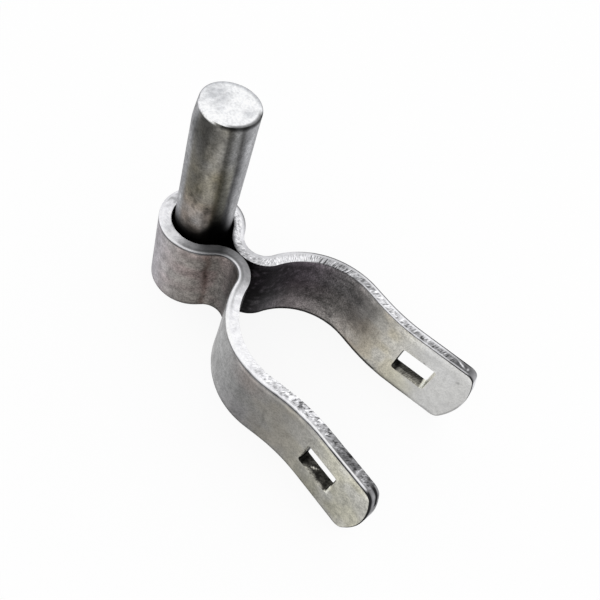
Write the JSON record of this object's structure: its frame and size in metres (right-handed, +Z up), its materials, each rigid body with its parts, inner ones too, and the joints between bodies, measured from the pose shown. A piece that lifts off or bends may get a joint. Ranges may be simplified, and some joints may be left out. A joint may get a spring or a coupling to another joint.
{
  "type": "post hinge pin",
  "caption": "Galvanised post hinge half: an upright round pin held in the loop of a pressed strap, whose arms clasp a round fence post and end in slotted ears for a cross bolt.",
  "frame": {"origin": "on the pin's axis, in the plane of the strap's lower edge, on the pin's lower end", "axes": "+Z up along the pin, +Y from the pin towards the post and the ears, X across the arms"},
  "size_m": [0.0514, 0.0988, 0.0672],
  "materials": {
    "strap_zinc": "hot-dip galvanised, dull and mottled",
    "pin_zinc": "hot-dip galvanised, dull, stained towards the strap"
  },
  "bodies": {
    "root": {"post_band": "strap_zinc", "hinge_pin": "pin_zinc"}
  },
  "joints": []
}
